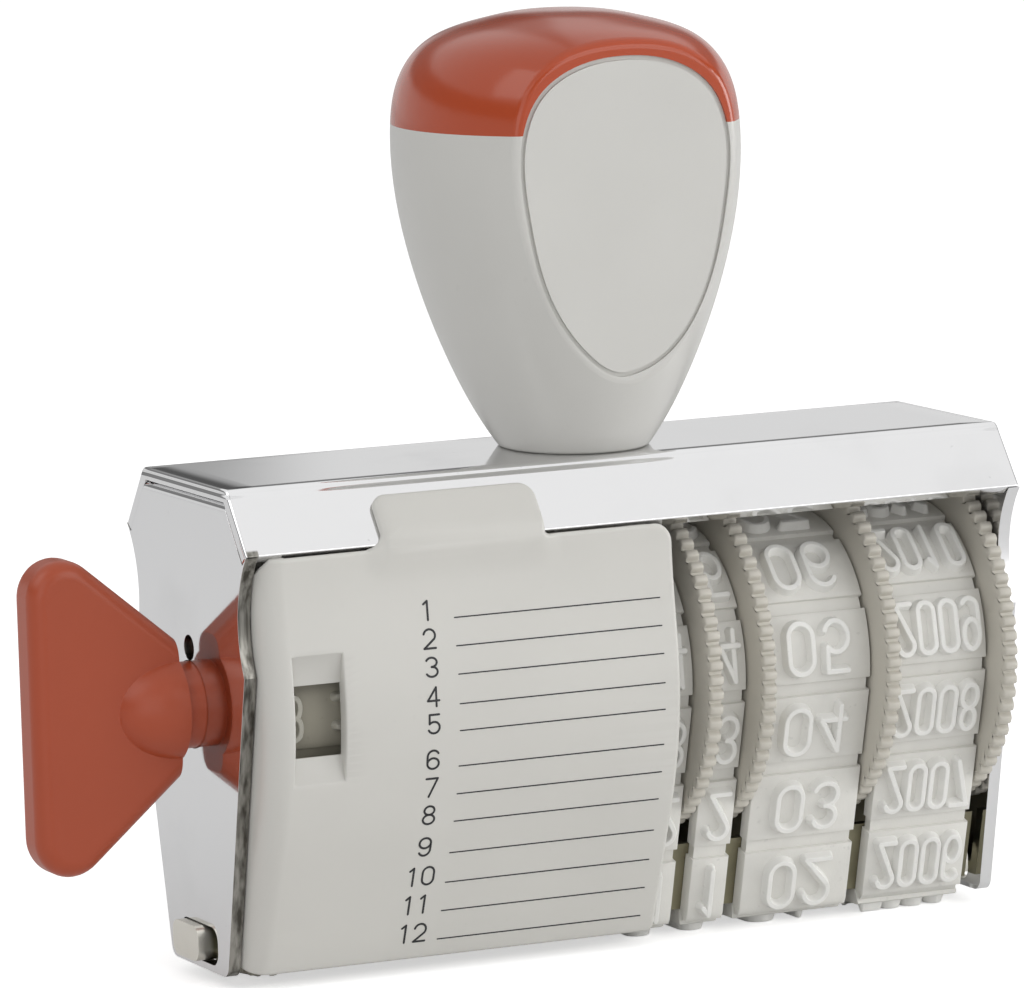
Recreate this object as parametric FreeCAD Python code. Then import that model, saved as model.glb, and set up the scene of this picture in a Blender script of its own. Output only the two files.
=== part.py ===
import FreeCAD, Part
import math
import os
from FreeCAD import Vector

# Dial-a-phrase date stamp, in millimetres, +Z up.
# The origin is the middle of the stamping face, the pads' outer face under the bridge.
# +X runs along the wheel axle away from the phrase knob, and -Y is the front.

# Frame: a folded housing over a U-shaped bracket
frame_length = 65.9
top_depth = 16.9
top_height = 38.3
shoulder_depth = 24.2
shoulder_height = 33.6
housing_sheet = 1.0
housing_edge_radius = 0.3
bend_radius = 0.7
seam = 0.06
bracket_sheet = 1.0
bracket_web_depth = 14.0
bracket_bend_radius = 0.7
plate_bottom = 0.3
plate_bottom_depth = 11.2
plate_corner_radius = 1.1
waist_depth = 20.2
waist_height = 28.7
cusp_depth = 22.0
cusp_height = 24.2
index_hole_radius = 1.0
index_hole_rise = 4.4

# Axle and running fits
axis_height = 20.8
axle_radius = 1.5
axle_head_radius = 2.6
axle_head_height = 0.7
axle_end_gap = 0.5
running_clearance = 0.06
side_clearance = 0.1

# Toothed wheels
disc_radius = 13.6
disc_thickness = 1.1
tooth_count = 72
tooth_height = 0.5
tooth_tip_share = 0.50
tooth_root_share = 0.72
wheel_end_gap = 0.25
drum_wall = 1.3
drum_web = 1.2
hub_radius = 3.2

# Type bands: a thin loop with raised pads
pad_radius = 10.6
pad_thickness = 0.35
loop_thickness = 0.9
pad_count = 13
groove_width = 1.05
groove_notch = 0.2
band_gap = 0.15
drum_clearance = 0.12
nose_half_width = 4.0
nose_radius = 1.4
day_band_width = 3.2
month_band_width = 9.45
year_band_width = 8.85
phrase_band_end_gap = 1.35
phrase_band_right_gap = 0.25
# how far the bottom pad's middle stands to the front of the bottom's middle
phrase_pad_shift = 0.1
day_pad_shift = 1.2
month_pad_shift = 1.2
year_pad_shift = 1.85

# Bridge that the bands run over
bridge_sheet = 1.0
bridge_wall_top = 6.8
bridge_seat = 0.05
lug_front = 1.75
lug_back = 3.45
lug_bottom = 0.95
lug_top = 3.7
lug_reach = 0.8
lug_radius = 1.0
lug_clearance = 0.1
lug_hook_room = 1.9

# Phrase knob
knob_reach = 13.55
knob_half_height = 15.5
knob_neck_half_height = 5.4
knob_thickness = 4.2
knob_corner_radius = 3.0
knob_edge_radius = 1.3
knob_hub_radius = 4.3
knob_hub_length = 5.8
knob_standoff = 1.65
knob_collar_radius = 3.35
drive_width = 4.6
drive_length = 3.0
knob_bore_depth = 5.0

# Handle
handle_height = 34.1
handle_half_width = 13.13
handle_depth_share = 1.2
handle_foot_slope = 1.4
handle_foot_radius = 0.5
facet_half_depth = 11.2
facet_height = 24.7
facet_taper = 0.028
facet_edge_radius = 0.9
seam_height = 25.45
egg_half_width = 8.8
egg_bottom = 6.4
egg_top = 31.1
egg_groove_width = 0.35
egg_groove_depth = 0.25
screw_radius = 1.5
screw_length = 12.0
screw_head_radius = 2.8
screw_head_height = 1.4
washer_radius = 3.6
washer_thickness = 0.5

# Front cover
cover_thickness = 1.1
cover_left_gap = 0.12
cover_left_radius = 0.9
cover_right = 2.5
cover_front = 13.2
cover_shoulder_step = 0.25
cover_shoulder_drop = 0.3
cover_top_gap = 0.2
flange_room_depth = 4.0
cover_foot_depth = 6.8
cover_foot = 0.35
cover_return_depth = 0.4
cover_return_wall = 1.0
cover_skirt_overlap = 0.5
cover_skirt_clearance = 0.35
cover_return_bottom = 12.5
cover_corner_radius = 1.5
window_left = -29.9
window_width = 4.15
window_bottom = 16.2
window_top = 26.1
window_throat_bottom = 18.2
window_throat_top = 23.7
tab_left = -21.75
tab_width = 13.4
tab_end_gap = 1.9
tab_thickness = 0.75
tab_corner_radius = 1.3
tab_root = 1.6

# Outlines, as shares of the sizes that they follow
# Handle profile: share of the height, share of the half width
handle_profile_shares = (
    (0.0, 0.430),
    (0.208, 0.717),
    (0.450, 0.920),
    (0.724, 1.000),
    (0.864, 0.925),
    (0.932, 0.775),
    (0.978, 0.470),
    (1.0, 0.0),
)
# Egg on the handle's flat: share of its half width, share of its height from the bottom
egg_shares = (
    (0.0, 0.0),
    (0.40, 0.065),
    (0.81, 0.290),
    (0.965, 0.520),
    (1.0, 0.735),
    (0.84, 0.885),
    (0.42, 0.980),
    (0.0, 1.0),
)
# Cover profile: share of the way from its top to its knee, share of its bulge
cover_profile_shares = (
    (0.0, 0.0),
    (0.26, 0.32),
    (0.57, 1.0),
    (0.80, 0.20),
    (1.0, -1.35),
)
cover_knee_share = 0.33

# Worked out from the sizes above
overrun = housing_sheet
end_face = frame_length / 2
inner_face = end_face - bracket_sheet
drum_radius = pad_radius - pad_thickness - loop_thickness - drum_clearance
bore_radius = axle_radius + running_clearance
band_thickness = pad_thickness + loop_thickness
handle_base = top_height
flange_run = (shoulder_depth - top_depth) / 2
flange_length = math.hypot(flange_run, top_height - shoulder_height)
cover_top = shoulder_height - cover_shoulder_drop
cover_top_depth = shoulder_depth / 2 + cover_shoulder_step
tab_length = flange_length - tab_end_gap


def box(low, high):
    """A box from its lowest to its highest corner."""
    return Part.makeBox(high[0] - low[0], high[1] - low[1], high[2] - low[2], Vector(*low))


def prism_x(face_points, x_low, x_high):
    """A polygon of (y, z) points, drawn out along X."""
    points = [Vector(x_low, y, z) for y, z in face_points]
    face = Part.Face(Part.makePolygon(points + points[:1]))
    return face.extrude(Vector(x_high - x_low, 0, 0))


def edges_x(edges, x_low, x_high):
    """A closed run of edges in a plane across X, drawn out along X."""
    face = Part.Face(Part.Wire(Part.__sortEdges__(edges)))
    return face.extrude(Vector(x_high - x_low, 0, 0))


def line(start, end):
    return Part.makeLine(start, end)


def arc(start, middle, end):
    return Part.Arc(start, middle, end).toShape()


def cylinder_x(radius, x_low, x_high, y=0.0, z=axis_height):
    return Part.makeCylinder(radius, x_high - x_low, Vector(x_low, y, z), Vector(1, 0, 0))


def turned_x(profile):
    """A profile of (x, radius) points, turned about the wheel axis."""
    points = [Vector(x, 0, axis_height + radius) for x, radius in profile]
    face = Part.Face(Part.makePolygon(points + points[:1]))
    return face.revolve(Vector(0, 0, axis_height), Vector(1, 0, 0), 360)


def edges_near(shape, test):
    """The edges of a shape whose middle point passes a test."""
    found = []
    for edge in shape.Edges:
        first, last = edge.ParameterRange
        if test(edge.valueAt((first + last) / 2)):
            found.append(edge)
    return found


def near(value, target):
    return abs(value - target) < seam / 2


def chamfer_frame():
    """The unit vectors along the front flange, upwards, and out of it, as (y, z)."""
    run = flange_run / flange_length
    rise = (top_height - shoulder_height) / flange_length
    return (run, rise), (-rise, run)


def flange_point(along, out):
    """The (y, z) point that far up the front flange from its edge, and that far out of it."""
    up, normal = chamfer_frame()
    y = -shoulder_depth / 2 + along * up[0] + out * normal[0]
    z = shoulder_height + along * up[1] + out * normal[1]
    return y, z


def folded_outline(inset):
    """Half the housing's cross-section, inset from its outer face: flange edge, then bend."""
    edge = flange_point(0, -inset)
    up, normal = chamfer_frame()
    # where the inset flange line meets the inset top
    height = top_height - inset
    along = (height - edge[1]) / up[1]
    return edge, (edge[0] + along * up[0], height)


def top_housing():
    outer = folded_outline(0)
    inner = folded_outline(housing_sheet)
    left_run = [outer[0], outer[1]]
    right_run = [(-y, z) for y, z in reversed(left_run)]
    inner_run = [inner[0], inner[1]]
    inner_back = [(-y, z) for y, z in reversed(inner_run)]
    section = left_run + right_run + list(reversed(inner_run + inner_back))
    shell = prism_x(section, -end_face, end_face)
    bends = edges_near(shell, lambda p: near(p.x, 0) and near(p.z, top_height)
                       and near(abs(p.y), top_depth / 2))
    shell = shell.makeFillet(bend_radius, bends)
    ends = edges_near(shell, lambda p: near(abs(p.x), end_face) and near(p.z, top_height))
    shell = shell.makeFillet(housing_edge_radius, ends)
    return shell.cut(screw_hole())


def screw_hole():
    return Part.makeCylinder(screw_radius, screw_length + top_height, Vector(0, 0, 0))


def end_plate_edges(x):
    """The end plate's outline: bevelled top, waist for the fingers, and a tapering foot."""
    bend = folded_outline(housing_sheet + seam)[1]
    shoulder_point = flange_point(-seam, -(housing_sheet + seam))
    brow_point = flange_point(-seam, -seam)
    foot = plate_bottom_depth / 2
    cusp = cusp_depth / 2
    waist = waist_depth / 2

    def place(side, y, z):
        return Vector(x, side * y, z)

    edges = []
    for side in (-1, 1):
        top = place(side, -bend[0], bend[1])
        shoulder = place(side, -shoulder_point[0], shoulder_point[1])
        brow = place(side, -brow_point[0], brow_point[1])
        middle = place(side, waist, waist_height)
        peak = place(side, cusp, cusp_height)
        base = place(side, foot, plate_bottom)
        edges += [line(top, shoulder), line(shoulder, brow), arc(brow, middle, peak)]
        edges.append(line(peak, base))
    edges.append(line(place(-1, -bend[0], bend[1]), place(1, -bend[0], bend[1])))
    edges.append(line(place(-1, foot, plate_bottom), place(1, foot, plate_bottom)))
    return edges


def end_plate(x_low, x_high):
    plate = edges_x(end_plate_edges(x_low), x_low, x_high)
    foot = plate_bottom_depth / 2
    corners = edges_near(plate, lambda p: near(p.z, plate_bottom) and near(abs(p.y), foot))
    return plate.makeFillet(plate_corner_radius, corners)


def lug_block(x_low, x_high, margin, front_room):
    """The lug's rounded block, grown by a margin, with more room at its front."""
    front = -lug_front - margin - front_room
    back = lug_back + margin
    block = box((x_low, front, lug_bottom - margin), (x_high, back, lug_top + margin))
    corners = edges_near(block, lambda p: (near(p.y, front) or near(p.y, back))
                         and not near(p.x, x_low) and not near(p.x, x_high))
    return block.makeFillet(lug_radius + margin, corners)


def lug_slot(x_low, x_high):
    return lug_block(x_low, x_high, lug_clearance, lug_hook_room)


def end_bracket():
    left = end_plate(-end_face, -inner_face)
    right = end_plate(inner_face, end_face)
    web_top = top_height - housing_sheet - seam
    web = box((-end_face, -bracket_web_depth / 2, web_top - bracket_sheet),
              (end_face, bracket_web_depth / 2, web_top))
    shape = left.fuse([right, web]).removeSplitter()
    bends = edges_near(shape, lambda p: near(abs(p.x), end_face) and near(p.z, web_top))
    shape = shape.makeFillet(bracket_bend_radius, bends)
    shape = shape.cut(screw_hole())
    shape = shape.cut(cylinder_x(knob_collar_radius + running_clearance,
                                 -end_face - overrun, -inner_face + overrun))
    shape = shape.cut(cylinder_x(index_hole_radius, -end_face - overrun, -inner_face + overrun,
                                 z=axis_height + index_hole_rise))
    shape = shape.cut(cylinder_x(axle_radius, inner_face - overrun, end_face + overrun))
    shape = shape.cut(lug_slot(-end_face - overrun, -inner_face + overrun))
    return shape.cut(lug_slot(inner_face - overrun, end_face + overrun))


def axle():
    shaft = cylinder_x(axle_radius, -inner_face + axle_end_gap, end_face)
    head = Part.makeCylinder(axle_head_radius, axle_head_height,
                             Vector(end_face, 0, axis_height), Vector(1, 0, 0))
    rim = edges_near(head, lambda p: near(p.x, end_face + axle_head_height))
    return shaft.fuse(head.makeFillet(axle_head_height / 2, rim)).removeSplitter()


def run_angle():
    """How far the bands' straight runs lean in from the vertical."""
    rise = axis_height - nose_radius
    reach = math.hypot(nose_half_width, rise)
    return math.atan2(rise, nose_half_width) - math.acos((pad_radius - nose_radius) / reach)


def nose_corner(inset):
    """Half the width of the loop's bottom where its straight run would cut it."""
    lean = run_angle()
    across = nose_half_width * math.cos(lean) - nose_radius * math.sin(lean) + nose_radius
    return (across - inset + inset * math.sin(lean)) / math.cos(lean)


def loop_solid(inset, x_low, x_high):
    """The space inside the band's path, inset from the pads' outer face, along X."""
    lean = run_angle()
    out = Vector(0, math.cos(lean), -math.sin(lean))
    radius = pad_radius - inset
    centre = Vector(x_low, 0, axis_height)
    edges = []
    ends = []
    for side in (-1, 1):
        normal = Vector(0, side * out.y, out.z)
        touch = centre + normal * radius
        corner = nose_radius - inset
        if corner > seam:
            nose = Vector(x_low, side * nose_half_width, nose_radius)
            start = nose + Vector(0, 0, -corner)
            end = nose + normal * corner
            half = (normal + Vector(0, 0, -1)).normalize()
            edges.append(arc(start, nose + half * corner, end))
        else:
            start = Vector(x_low, side * nose_corner(inset), inset)
            end = start
        edges.append(line(end, touch))
        ends.append((start, touch))
    edges.append(line(ends[0][0], ends[1][0]))
    edges.append(arc(ends[0][1], centre + Vector(0, 0, radius), ends[1][1]))
    return edges_x(edges, x_low, x_high)


def face_lengths():
    """The parts of half the loop's outer face: flat bottom, nose, straight run and turn."""
    lean = run_angle()
    reach = math.hypot(nose_half_width, axis_height - nose_radius)
    run = math.sqrt(reach ** 2 - (pad_radius - nose_radius) ** 2)
    turn = pad_radius * (math.pi / 2 + lean)
    return nose_half_width, nose_radius * (math.pi / 2 - lean), run, turn


def face_station(distance):
    """The point and outward direction on the pads' face, that far round to the front."""
    flat, nose, run, turn = face_lengths()
    half = flat + nose + run + turn
    distance = (distance + half) % (2 * half) - half
    side = 1 if distance < 0 else -1
    rest = abs(distance)
    lean = run_angle()
    if rest < flat + nose:
        angle = max(rest - flat, 0) / nose_radius - math.pi / 2
        y = min(rest, flat) + nose_radius * math.cos(angle)
        z = nose_radius * (1 + math.sin(angle))
    elif rest < flat + nose + run:
        angle = -lean
        along = rest - flat - nose
        y = flat + nose_radius * math.cos(lean) + along * math.sin(lean)
        z = nose_radius * (1 - math.sin(lean)) + along * math.cos(lean)
    else:
        angle = (rest - flat - nose - run) / pad_radius - lean
        y = pad_radius * math.cos(angle)
        z = axis_height + pad_radius * math.sin(angle)
    return Vector(0, side * y, z), Vector(0, side * math.cos(angle), math.sin(angle))


def groove_block(distance, depth, x_low, x_high):
    """A block across the band at a groove, that deep from the pads' face."""
    point, out = face_station(distance)
    foot = point - out * depth
    top = point + out * overrun
    half = Vector(0, -out.z, out.y) * (groove_width / 2)
    corners = [foot - half, foot + half, top + half, top - half]
    return prism_x([(p.y, p.z) for p in corners], x_low, x_high)


def band(x_low, x_high, shift):
    """A type band: a loop with low pads, parted by grooves that nick its sides."""
    shape = loop_solid(0, x_low, x_high).cut(
        loop_solid(band_thickness, x_low - overrun, x_high + overrun))
    pitch = 2 * sum(face_lengths()) / pad_count
    through = band_thickness + overrun
    cutters = []
    for index in range(pad_count):
        distance = shift + pitch * (index + 0.5)
        cutters.append(groove_block(distance, pad_thickness, x_low - overrun, x_high + overrun))
        cutters.append(groove_block(distance, through, x_low - overrun, x_low + groove_notch))
        cutters.append(groove_block(distance, through, x_high - groove_notch, x_high + overrun))
    return shape.cut(cutters).removeSplitter()


def toothed_disc(x_low):
    """A thumb disc with square teeth round its rim."""
    pitch = 2 * math.pi / tooth_count
    root = disc_radius - tooth_height
    points = []
    for tooth in range(tooth_count):
        for radius, offset in ((root, -tooth_root_share), (disc_radius, -tooth_tip_share),
                               (disc_radius, tooth_tip_share), (root, tooth_root_share)):
            angle = pitch * (tooth + offset / 2)
            points.append((radius * math.sin(angle), axis_height + radius * math.cos(angle)))
    return prism_x(points, x_low, x_low + disc_thickness)


def date_wheel(drum_left, disc_left):
    """A thumb wheel: a toothed disc with a cup-shaped drum for its band."""
    cup = turned_x((
        (drum_left, drum_radius),
        (disc_left, drum_radius),
        (disc_left, hub_radius),
        (drum_left, hub_radius),
    ))
    hollow_right = max(disc_left - drum_web, drum_left + drum_wall / 2)
    hollow = cylinder_x(drum_radius - drum_wall, drum_left - overrun, hollow_right)
    hub = cylinder_x(hub_radius, drum_left, disc_left)
    body = cup.cut(hollow).fuse([hub, toothed_disc(disc_left)])
    bore = cylinder_x(bore_radius, drum_left - overrun, disc_left + disc_thickness + overrun)
    return body.cut(bore).removeSplitter()


def date_rows():
    """Each date row's name, drum left, band left and right, disc left and pads' shift."""
    widths = (("year", year_band_width, year_pad_shift), ("month", month_band_width, month_pad_shift),
              ("day_units", day_band_width, day_pad_shift), ("day_tens", day_band_width, day_pad_shift))
    rows = []
    disc_right = inner_face - wheel_end_gap
    for name, width, shift in widths:
        disc_left = disc_right - disc_thickness
        band_right = disc_left - band_gap
        band_left = band_right - width
        next_disc = band_left - band_gap
        rows.append((name, next_disc + side_clearance, band_left, band_right, disc_left, shift))
        disc_right = next_disc
    return rows


def phrase_places():
    """The phrase band's left and right side, and the drum's."""
    tens = date_rows()[-1]
    band_right = tens[2] - phrase_band_right_gap
    band_left = -inner_face + phrase_band_end_gap
    drum_left = -inner_face + wheel_end_gap
    drum_right = tens[1] - side_clearance
    return band_left, band_right, drum_left, drum_right


def drive_block(x_low, x_high):
    half = drive_width / 2
    return box((x_low, -half, axis_height - half), (x_high, half, axis_height + half))


def phrase_drum():
    band_left, band_right, left, right = phrase_places()
    shell = cylinder_x(drum_radius, left, right)
    hollow = cylinder_x(drum_radius - drum_wall, left + drive_length, right + overrun)
    hub = cylinder_x(hub_radius, left + drive_length, right)
    shape = shell.cut(hollow).fuse(hub)
    shape = shape.cut(cylinder_x(bore_radius, left - overrun, right + overrun))
    return shape.cut(drive_block(left - overrun, left + drive_length)).removeSplitter()


def knob_wing():
    """The wing: a flat rounded triangle with its edges rounded over."""
    neck = -end_face - knob_standoff
    rim = -end_face - knob_reach
    half = knob_thickness / 2
    corners = ((rim, -knob_half_height), (neck, -knob_neck_half_height),
               (neck, knob_neck_half_height), (rim, knob_half_height))
    points = [Vector(x, -half, axis_height + z) for x, z in corners]
    wing = Part.Face(Part.makePolygon(points + points[:1])).extrude(Vector(0, knob_thickness, 0))
    tips = edges_near(wing, lambda p: near(p.x, rim) and near(p.y, 0))
    wing = wing.makeFillet(knob_corner_radius, tips)
    rounded = edges_near(wing, lambda p: near(abs(p.y), half) and not near(p.x, neck))
    return wing.makeFillet(knob_edge_radius, rounded)


def knob_hub():
    """The domed boss in the middle of the wing, half an oval turned about the axis."""
    foot = Vector(-end_face - knob_standoff, 0, axis_height)
    tip = foot - Vector(knob_hub_length, 0, 0)
    side = foot + Vector(0, 0, knob_hub_radius)
    oval = Part.ArcOfEllipse(Part.Ellipse(tip, side, foot), 0, math.pi / 2)
    profile = Part.Wire(Part.__sortEdges__([line(foot, tip), oval.toShape(), line(side, foot)]))
    return Part.Face(profile).revolve(foot, Vector(1, 0, 0), 360)


def phrase_knob():
    neck = -end_face - knob_standoff
    shape = knob_wing().fuse(knob_hub())
    drum_left = phrase_places()[2]
    collar = cylinder_x(knob_collar_radius, neck, drum_left)
    drive = drive_block(drum_left, drum_left + drive_length)
    shape = shape.fuse([collar, drive])
    bore = cylinder_x(bore_radius, drum_left - knob_bore_depth, drum_left + drive_length + overrun)
    return shape.cut(bore).removeSplitter()


def bridge():
    """The channel inside the bands' bottom, with a lug at each end."""
    inset = band_thickness + bridge_seat
    solid = loop_solid(inset, -inner_face + axle_end_gap, inner_face - axle_end_gap)
    hollow = loop_solid(inset + bridge_sheet, -end_face, end_face)
    lid = box((-end_face, -top_depth, bridge_wall_top), (end_face, top_depth, top_height))
    channel = solid.cut([hollow, lid])
    lugs = []
    for side in (-1, 1):
        low = min(side * (inner_face - axle_end_gap), side * (end_face + lug_reach))
        high = max(side * (inner_face - axle_end_gap), side * (end_face + lug_reach))
        lugs.append(lug_block(low, high, 0, 0))
    return channel.fuse(lugs).removeSplitter()


def handle_blank():
    """The grip's outer form before its flats are cut, round until it is stretched along Y."""
    points = []
    for height, width in handle_profile_shares:
        points.append(Vector(width * handle_half_width, 0, handle_base + height * handle_height))
    curve = Part.BSplineCurve()
    curve.interpolate(Points=points, InitialTangent=Vector(1, 0, handle_foot_slope),
                      FinalTangent=Vector(-1, 0, 0))
    base_centre = Vector(0, 0, handle_base)
    profile = Part.Wire([line(base_centre, points[0]), curve.toShape(), line(points[-1], base_centre)])
    return Part.Face(profile).revolve(Vector(0, 0, 0), Vector(0, 0, 1), 360)


def stretched(shape):
    """The oval form of a piece of the round blank."""
    stretch = FreeCAD.Matrix()
    stretch.scale(1, handle_depth_share, 1)
    return shape.transformGeometry(stretch)


def flat_cutter(side, sunk):
    """What the grip's front or back flat takes off the blank, sunk below the flat."""
    reach = 2 * handle_half_width
    depth = facet_half_depth - sunk
    low = depth - facet_taper * facet_height
    high = depth + facet_taper * (handle_height + overrun - facet_height)
    top = handle_base + handle_height + overrun
    points = [(low, handle_base - overrun), (high, top), (reach, top), (reach, handle_base - overrun)]
    return prism_x([(side * y / handle_depth_share, z) for y, z in points], -reach, reach)


def egg_prism(shrink, y_low, y_high):
    """The egg outline on the flats, shrunk by a rim, drawn out along Y."""
    half_width = egg_half_width - shrink
    bottom = handle_base + egg_bottom + shrink
    height = egg_top - egg_bottom - 2 * shrink
    right = [Vector(x * half_width, y_low, bottom + z * height) for x, z in egg_shares]
    left = [Vector(-p.x, p.y, p.z) for p in reversed(right[1:-1])]
    curve = Part.BSplineCurve()
    curve.interpolate(Points=right + left, PeriodicFlag=True)
    return Part.Face(Part.Wire(curve.toShape())).extrude(Vector(0, y_high - y_low, 0))


def grip():
    """The whole grip with its flats, before the cap is parted from it."""
    blank = handle_blank()
    blank = blank.makeFillet(handle_foot_radius, edges_near(blank, lambda p: near(p.z, handle_base)))
    shape = blank.cut([flat_cutter(-1, 0), flat_cutter(1, 0)])
    inside = (facet_half_depth - facet_taper * facet_height) / handle_depth_share - seam
    rims = edges_near(shape, lambda p: abs(p.y) > inside)
    return shape.makeFillet(facet_edge_radius, rims)


def handle_parts():
    """The grip's grey body, with the egg-shaped tongue, and its red cap."""
    whole = grip()
    reach = 2 * handle_half_width
    upper = box((-reach, -reach, handle_base + seam_height),
                (reach, reach, handle_base + handle_height + overrun))
    egg = egg_prism(0, -reach, reach)
    cap_space = upper.cut(egg)
    cap = whole.common(cap_space)
    body = whole.cut(cap_space)
    ring = egg.cut(egg_prism(egg_groove_width, -reach - overrun, reach + overrun))
    grooves = [ring.common(flat_cutter(side, egg_groove_depth)) for side in (-1, 1)]
    body = stretched(body.cut(grooves))
    hole = Part.makeCylinder(screw_radius, handle_base + screw_length, Vector(0, 0, 0))
    return body.cut(hole), stretched(cap)


def screw_seat():
    return top_height - housing_sheet - seam - bracket_sheet


def handle_screw():
    head_top = screw_seat() - washer_thickness
    shank = Part.makeCylinder(screw_radius, handle_base + screw_length - head_top,
                              Vector(0, 0, head_top))
    head = Part.makeCylinder(screw_head_radius, screw_head_height,
                             Vector(0, 0, head_top - screw_head_height))
    rim = edges_near(head, lambda p: near(p.z, head_top - screw_head_height))
    return shank.fuse(head.makeFillet(screw_head_height / 3, rim)).removeSplitter()


def handle_washer():
    bottom = screw_seat() - washer_thickness
    ring = Part.makeCylinder(washer_radius, washer_thickness, Vector(0, 0, bottom))
    return ring.cut(screw_hole())


def cover_points(inset):
    """The cover's profile as (y, z) points from its top to its foot, inset from the face."""
    knee = cover_foot + (cover_top - cover_foot) * cover_knee_share
    bulge = cover_front - cover_top_depth
    points = []
    for down, out in cover_profile_shares:
        points.append((-cover_top_depth - out * bulge, cover_top + (knee - cover_top) * down))
    points.append((-cover_foot_depth, cover_foot))
    if inset == 0:
        return points
    moved = []
    for index, (y, z) in enumerate(points):
        before = points[max(index - 1, 0)]
        after = points[min(index + 1, len(points) - 1)]
        along = Vector(0, after[0] - before[0], after[1] - before[1]).normalize()
        moved.append((y - along.z * inset, z + along.y * inset))
    return moved


def cover_strip(inset, x_low, x_high):
    """A strip of the cover, that thick, along X."""
    outer = [Vector(x_low, y, z) for y, z in cover_points(0)]
    inner = [Vector(x_low, y, z) for y, z in cover_points(inset)]
    edges = []
    for points in (outer, inner):
        curve = Part.BSplineCurve()
        curve.interpolate(points[:-1])
        edges += [curve.toShape(), line(points[-2], points[-1])]
    edges += [line(outer[0], inner[0]), line(outer[-1], inner[-1])]
    return edges_x(edges, x_low, x_high)


def cover_skirt():
    """The cover's left side, which reaches back past the edge of the end plate."""
    left = -inner_face + cover_left_gap
    points = [Vector(left, y, z) for y, z in cover_points(0)]
    curve = Part.BSplineCurve()
    curve.interpolate(points[:-1])
    clear = drum_radius + cover_skirt_clearance
    cusp = Vector(left, cover_skirt_overlap - cusp_depth / 2, cusp_height)
    foot = Vector(left, cover_skirt_overlap - plate_bottom_depth / 2, plate_bottom)
    slope = (foot.z - cusp.z) / (foot.y - cusp.y)
    turn = Vector(left, -clear, cusp.z + (-clear - cusp.y) * slope)
    last = Vector(left, foot.y + (cover_foot - foot.z) / slope, cover_foot)
    top = Vector(left, -clear, cover_top)
    edges = [curve.toShape(), line(points[-2], points[-1]), line(points[-1], last),
             line(last, turn), line(turn, top), line(top, points[0])]
    return edges_x(edges, left, left + cover_return_wall)


def cover_left_edges(shape):
    """The edges where the cover's front meets its left side."""
    left = -inner_face + cover_left_gap
    knee, foot = cover_points(0)[-2:]
    y = (knee[0] + foot[0]) / 2
    z = (knee[1] + foot[1]) / 2
    return edges_near(shape, lambda p: near(p.x, left) and (
        p.y < -cover_top_depth or (near(p.y, y) and near(p.z, z))))


def window_cutter():
    """The number window: a tall mouth whose top and bottom slope in to a shorter throat."""
    def frame_at(y, low, high):
        right = window_left + window_width
        corners = (Vector(window_left, y, low), Vector(right, y, low),
                   Vector(right, y, high), Vector(window_left, y, high))
        return Part.makePolygon(corners + corners[:1])
    mouth_depth = cover_front
    throat_depth = cover_front - cover_thickness
    slope_low = (window_throat_bottom - window_bottom) / cover_thickness
    slope_high = (window_top - window_throat_top) / cover_thickness
    mouth = frame_at(-mouth_depth - overrun, window_bottom - slope_low * overrun,
                     window_top + slope_high * overrun)
    throat = frame_at(-throat_depth, window_throat_bottom, window_throat_top)
    through = box((window_left, -throat_depth - overrun, window_throat_bottom),
                  (window_left + window_width, -pad_radius, window_throat_top))
    return Part.makeLoft([mouth, throat], True).fuse(through)


def cover_tab():
    """The tab that lies on the sloping flange and holds the cover."""
    surface = cover_points(0)
    behind = flange_point(0, seam)
    section = [
        flange_point(tab_length, seam),
        flange_point(tab_length, seam + tab_thickness),
        flange_point(-seam, seam + tab_thickness),
        (surface[0][0], cover_top - tab_root),
        (surface[0][0] + cover_thickness / 2, cover_top - tab_root),
        (behind[0], flange_point(0, -housing_sheet)[1] - seam),
        behind,
    ]
    tab = prism_x(section, tab_left, tab_left + tab_width)
    tip = flange_point(tab_length, seam + tab_thickness / 2)
    corners = edges_near(tab, lambda p: near(p.y, tip[0]) and near(p.z, tip[1])
                         and not near(p.x, tab_left + tab_width / 2))
    return tab.makeFillet(tab_corner_radius, corners)


def flange_room():
    """The room that the cover's top edge leaves for the housing's flange."""
    deep = -flange_room_depth
    section = [flange_point(-cover_top_gap, overrun), flange_point(tab_length, overrun),
               flange_point(tab_length, deep), flange_point(-cover_top_gap, deep)]
    return prism_x(section, -end_face, end_face)


def corner_cutter():
    """What rounds the cover's top right corner, seen from the front."""
    radius = cover_corner_radius
    centre = Vector(cover_right - radius, -shoulder_depth, cover_top - radius)
    block = box((centre.x, centre.y, centre.z), (cover_right + overrun, 0, top_height))
    return block.cut(Part.makeCylinder(radius, shoulder_depth, centre, Vector(0, 1, 0)))


def front_cover():
    left = -inner_face + cover_left_gap
    shell = cover_strip(cover_thickness, left, cover_right)
    depth = cover_thickness + cover_return_depth
    space = box((left, -shoulder_depth, cover_return_bottom), (cover_right, 0, top_height))
    edge = cover_strip(depth, cover_right - cover_return_wall, cover_right).common(space)
    shape = shell.fuse([edge, cover_skirt()]).removeSplitter()
    shape = shape.makeFillet(cover_left_radius, cover_left_edges(shape))
    shape = shape.cut([flange_room(), corner_cutter()]).removeSplitter()
    return shape.cut(window_cutter()).fuse(cover_tab()).removeSplitter()


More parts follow.
